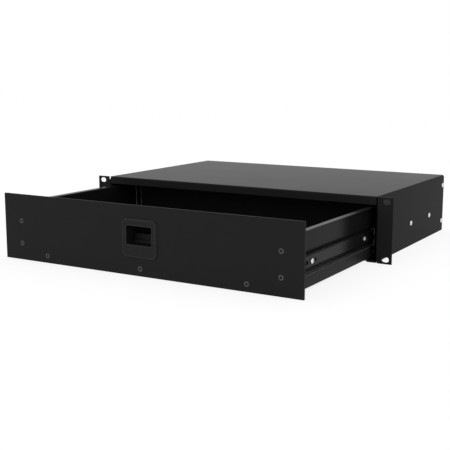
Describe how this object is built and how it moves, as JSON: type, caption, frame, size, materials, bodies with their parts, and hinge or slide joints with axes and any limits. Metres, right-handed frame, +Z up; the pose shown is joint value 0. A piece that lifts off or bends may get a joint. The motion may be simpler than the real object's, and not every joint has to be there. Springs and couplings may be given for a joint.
{
  "type": "sliding rack drawer",
  "caption": "Two-unit sliding drawer for a 19-inch rack: slotted ears on a sheet-metal chassis, ball-bearing slides and a flush slam latch, shown pulled fully out.",
  "frame": {"origin": "centre of the four rack holes in the ears, in the plane of the ears' front faces", "axes": "+X right seen from the front, +Y to the rear of the rack, +Z up"},
  "size_m": [0.4826, 0.51, 0.0888],
  "materials": {
    "powder_coat": "satin black powder coat on folded steel sheet",
    "panel_coat": "fine matte black powder coat on steel plate",
    "slide_steel": "black electro-coated rolled steel",
    "cage_steel": "zinc-plated strip",
    "ball_steel": "polished bearing steel",
    "zinc_screw": "bright zinc-plated steel",
    "black_screw": "black oxide steel",
    "latch_plastic": "black glass-filled nylon, fine texture",
    "bolt_zinc": "die-cast zinc alloy",
    "spring_steel": "bright spring wire",
    "bumper_rubber": "matte black rubber"
  },
  "bodies": {
    "chassis": {"chassis_cover": "powder_coat", "base_plate": "powder_coat", "base_screws": "black_screw", "rear_panel": "powder_coat", "rear_panel_screws": "zinc_screw", "slide_screws": "zinc_screw", "cabinet_member_right": "slide_steel", "cabinet_member_left": "slide_steel", "slide_bumpers": "bumper_rubber"},
    "right_cage": {"ball_cage_right": "cage_steel", "balls_right": "ball_steel"},
    "left_cage": {"ball_cage_left": "cage_steel", "balls_left": "ball_steel"},
    "drawer": {"drawer_member_right": "slide_steel", "drawer_member_left": "slide_steel", "member_screws": "zinc_screw", "front_panel": "panel_coat", "panel_screws": "black_screw", "clinch_nuts": "zinc_screw", "drawer_pan": "powder_coat", "drawer_side_right": "powder_coat", "drawer_side_left": "powder_coat", "drawer_rear_wall": "powder_coat", "latch_bezel": "latch_plastic", "latch_housing": "latch_plastic", "latch_studs": "zinc_screw", "latch_nuts": "zinc_screw", "hinge_pin": "ball_steel", "latch_springs": "spring_steel"},
    "latch_paddle": {"latch_paddle": "latch_plastic"},
    "latch_bolt": {"latch_bolt": "bolt_zinc"}
  },
  "joints": [
    {"name": "drawer_slide", "type": "slide", "parent": "chassis", "child": "drawer", "axis": [0, -1, 0], "range_m": [-0.2197, 0]},
    {"name": "right_cage_roll", "type": "slide", "parent": "chassis", "child": "right_cage", "axis": [0, -1, 0], "range_m": [-0.10985, 0]},
    {"name": "left_cage_roll", "type": "slide", "parent": "chassis", "child": "left_cage", "axis": [0, -1, 0], "range_m": [-0.10985, 0]},
    {"name": "paddle_hinge", "type": "hinge", "parent": "drawer", "child": "latch_paddle", "pos_m": [0, -0.2045, -0.0055], "axis": [1, 0, 0], "range_deg": [0, 28]},
    {"name": "bolt_slide", "type": "slide", "parent": "drawer", "child": "latch_bolt", "axis": [0, 0, -1], "range_m": [0, 0.0052], "stiffness_N_per_m": 400, "springref_m": -0.004, "deforming": ["latch_springs"]}
  ],
  "couplings": [
    {"joint": "right_cage_roll", "follows": "drawer_slide", "ratio": 0.5},
    {"joint": "left_cage_roll", "follows": "drawer_slide", "ratio": 0.5},
    {"joint": "paddle_hinge", "follows": "bolt_slide", "rad_per_m": 93.9}
  ]
}
